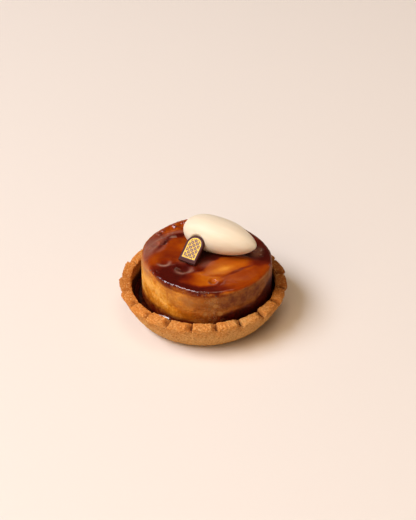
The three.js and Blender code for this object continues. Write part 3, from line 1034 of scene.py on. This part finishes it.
def chocolateMaterial():
    half, straight = plaque["width"] / 2, plaque["height"] - plaque["width"] / 2

    def varying(w):
        p = w.place()
        x, y = w.attribute("faceX"), w.attribute("faceY")
        above = (y - straight).math("MAXIMUM", 0.0)
        # How far inside the arch's edge a place is.
        inset = (half - (x * x + above * above).math("SQRT")).math("MINIMUM", y - plaque["margin"])
        border = (inset - plaque["border"]).math("ABSOLUTE").ramp(0.2, 0.1)
        inner = inset.ramp(1.5, 1.6)
        rising = ((x + y) / plaque["lattice"]).math("PINGPONG", 0.5)
        falling = ((x - y) / plaque["lattice"]).math("PINGPONG", 0.5)
        lattice = rising.math("MINIMUM", falling).ramp(0.095, 0.045)
        dots = (rising + falling).ramp(0.84, 0.9)
        gold = border.math("MAXIMUM", inner * lattice.math("MAXIMUM", dots))
        worn = p.cloud(0.5, 2).ramp(0.25, 0.42)
        gold = gold * (0.55 + worn * 0.45)
        # Painted sheen: the field's pale lilac stands for the light's reflection on the dark chocolate.
        paintedSheen = inset.ramp(0.85, 1.15) * (0.7 + p.cloud(1.2, 2.0) * 0.5)
        field = paintedSheen.mix((0.058, 0.012, 0.009), (0.17, 0.115, 0.15))
        return {
            "Base Color": gold.mix(field, (0.86, 0.56, 0.045)),
            "Metallic": gold * 0.3,
            "Roughness": 0.5 - gold * 0.08,
            "Normal": (p.cloud(0.6, 2) * 0.2 + gold).relief(0.05),
        }

    fixed = {"Specular IOR Level": 0.15}
    return makeMaterial("printedChocolate", fixed, varying)


tablet = makePlaque()
settle(tablet, chocolateMaterial(), "plaque")


cream = {
    "x": 8.1,
    "y": 3.8,
    "z": 40.13,
    "turn": -28,
    "long": 19.0,
    "wide": 9.0,
    "high": 8.55,
    "widest": -0.21,
    "bluntPower": 2.4,
    "tipPower": 2.1,
    "tipTaper": 0.62,
    "rows": 150,
    "columns": 200,
}


def makeCream():
    t = -np.cos(np.linspace(0.02, 1 - 0.012, cream["rows"]) * math.pi)[:, None]
    widest = cream["widest"]
    blunt = 1 - np.clip((widest - t) / (1 + widest), 0, 1) ** cream["bluntPower"]
    tip = 1 - np.clip((t - widest) / (1 - widest), 0, 1) ** cream["tipPower"]
    share = np.where(t < widest, np.clip(blunt, 0, 1) ** 0.5, np.clip(tip, 0, 1) ** cream["tipTaper"])
    around = (np.arange(cream["columns"]) / cream["columns"] * 2 * math.pi)[None, :]
    along = np.broadcast_to(t * cream["long"], (cream["rows"], cream["columns"]))
    # A spoon's edge left a soft ridge that runs along the far side to the tip.
    ridgeAt = 0.95 + 0.25 * t
    ridge = 0.5 * hump(around - ridgeAt, 0.12) * smooth(t, -0.1, 0.5) * smooth(t, 1.0, 0.85)
    hollow = 0.3 * hump(around - ridgeAt + 0.35, 0.3) * smooth(t, -0.1, 0.5)
    size = share + (ridge - hollow) / cream["wide"] * share
    side = size * cream["wide"] * np.cos(around)
    up = size * cream["high"] * np.sin(around)
    turn = math.radians(cream["turn"])
    x = cream["x"] + along * math.cos(turn) - side * math.sin(turn)
    y = cream["y"] + along * math.sin(turn) + side * math.cos(turn)
    grid = np.stack([x, y, cream["z"] + up], axis=-1)
    grid[..., 2] += 0.1 * lumps(grid, 9.0, 2, seed=6) + 0.02 * lumps(grid, 2.0, 2, seed=7)

    # It lies on the apple, spread a little where it touches.
    lift = layTop(grid[..., 0], grid[..., 1])[0]
    rest = apple["top"] + lift * 0.8 + 0.25
    sunk = np.maximum(rest - grid[..., 2], 0)
    grid[..., 2] += sunk
    middle = np.array([cream["x"], cream["y"]])
    grid[..., :2] += (grid[..., :2] - middle) * (0.012 * np.minimum(sunk, 2))[..., None]

    # The plaque presses into it: whatever lies inside the plaque is moved behind its back.
    foot, across, upward, out = plaqueFrame()
    offset = grid - foot
    u, v, depth = offset @ across, offset @ upward, offset @ out
    straight = plaque["height"] - plaque["width"] / 2
    beyond = np.hypot(u, np.maximum(v - straight, 0)) - plaque["width"] / 2
    pressed = smooth(beyond, 0.45, 0.0) * (v > -1) * (depth < plaque["thickness"] + 1.5)
    back = np.minimum(-plaque["gap"] - depth, 0)
    grid += (pressed * back)[..., None] * out
    return closedSkin("creamQuenelle", grid[::-1])


def creamMaterial():
    def varying(w):
        p = w.place()
        turned = {0: p, 2: (0, 0, math.radians(-cream["turn"]))}  # so that the smear runs along the quenelle
        streaks = p.node("ShaderNodeMapping", {"vector_type": "POINT"}, turned)
        smear = streaks.cloud(2.4, 3, stretch=(0.1, 1, 1))
        colour = (smear.ramp(0.3, 0.75) * 0.5).mix((0.725, 0.645, 0.50), (0.785, 0.715, 0.57))
        height = smear * 0.6 + p.cloud(0.9, 3) * 0.15
        return {"Base Color": colour, "Roughness": 0.42 + smear * 0.12, "Normal": height.relief(0.2)}

    fixed = {
        "Specular IOR Level": 0.4,
        "Subsurface Weight": 0.6,
        "Subsurface Radius": (1.0, 0.9, 0.7),
        "Subsurface Scale": 4.0 * mm,
    }
    return makeMaterial("thickCream", fixed, varying)


quenelle = makeCream()
settle(quenelle, creamMaterial(), "cream")


studio = {
    "target": (2.27, 0.0, 29.0),
    "elevation": 35.0,
    "distance": 800.0,
    "lens": 116.65,
    # Each light: where it comes from, how far off it is and how wide, in metres, its power and colour.
    "lights": {
        "softKey": ((-0.585, -0.2, 0.785), 2.2, (1.9, 0.75), 48.5, (0.86, 0.865, 0.96)),
        "frontFill": ((-0.45, -0.58, 0.68), 2.0, (1.6, 1.6), 17.5, (1.0, 0.73, 0.46)),
        "upperFill": ((0.1, -0.15, 1.0), 2.2, (1.4, 1.4), 15.0, (1.0, 0.72, 0.48)),
    },
    # The air is bright along the horizon, as pale walls are, and dim above it.
    "horizon": (0.57, 0.42, 0.28),
    "air": (0.035, 0.03, 0.025),
    "horizonEnds": (0.34, 0.2),  # all dim above the first height, all bright below the second
    "floor": 3000.0,
    "floorSides": 96,
}


def makeFloor():
    sides = studio["floorSides"]
    turn = np.arange(sides) / sides * 2 * math.pi
    vertices = [(studio["floor"] * math.cos(a), studio["floor"] * math.sin(a), 0) for a in turn]
    floor = makeMesh("paleFloor", vertices, [tuple(range(sides))])

    def varying(w):
        tint = w.place().cloud(300.0, 1.0)
        return {"Base Color": tint.mix((0.775, 0.745, 0.70), (0.795, 0.765, 0.72))}

    paper = makeMaterial("palePaper", {"Roughness": 0.9, "Specular IOR Level": 0.1}, varying)
    floor.data.materials.append(paper)


def makeLights():
    for name, (source, distance, width, power, colour) in studio["lights"].items():
        direction = Vector(source).normalized()
        lamp = bpy.data.lights.new(name, "AREA")
        lamp.shape = "ELLIPSE"
        lamp.size, lamp.size_y = width
        lamp.energy = power
        lamp.color = colour
        light = bpy.data.objects.new(name, lamp)
        light.location = direction * distance
        light.rotation_euler = direction.to_track_quat("Z", "Y").to_euler()
        bpy.context.scene.collection.objects.link(light)
    world = bpy.data.worlds.new("studioAir")
    world.use_nodes = True
    tree = world.node_tree
    direction = Wire(tree).node("ShaderNodeTexCoord")
    height = direction.node("ShaderNodeSeparateXYZ", {}, {0: direction}, output=2)
    glow = height.ramp(*studio["horizonEnds"]).mix(studio["air"], studio["horizon"])
    tree.links.new(glow.socket, tree.nodes["Background"].inputs["Color"])
    bpy.context.scene.world = world


def makeCamera():
    lens = bpy.data.cameras.new("camera")
    lens.lens = studio["lens"]
    lens.sensor_width = 36
    lens.clip_end = 10
    camera = bpy.data.objects.new("camera", lens)
    elevation = math.radians(studio["elevation"])
    back = Vector((0, -math.cos(elevation), math.sin(elevation)))
    camera.location = (Vector(studio["target"]) + back * studio["distance"]) * mm
    camera.rotation_euler = back.to_track_quat("Z", "Y").to_euler()
    bpy.context.scene.collection.objects.link(camera)
    bpy.context.scene.camera = camera


makeFloor()
makeLights()
makeCamera()
bpy.context.scene.view_settings.view_transform = "Standard"
print("floor, lights and camera set")
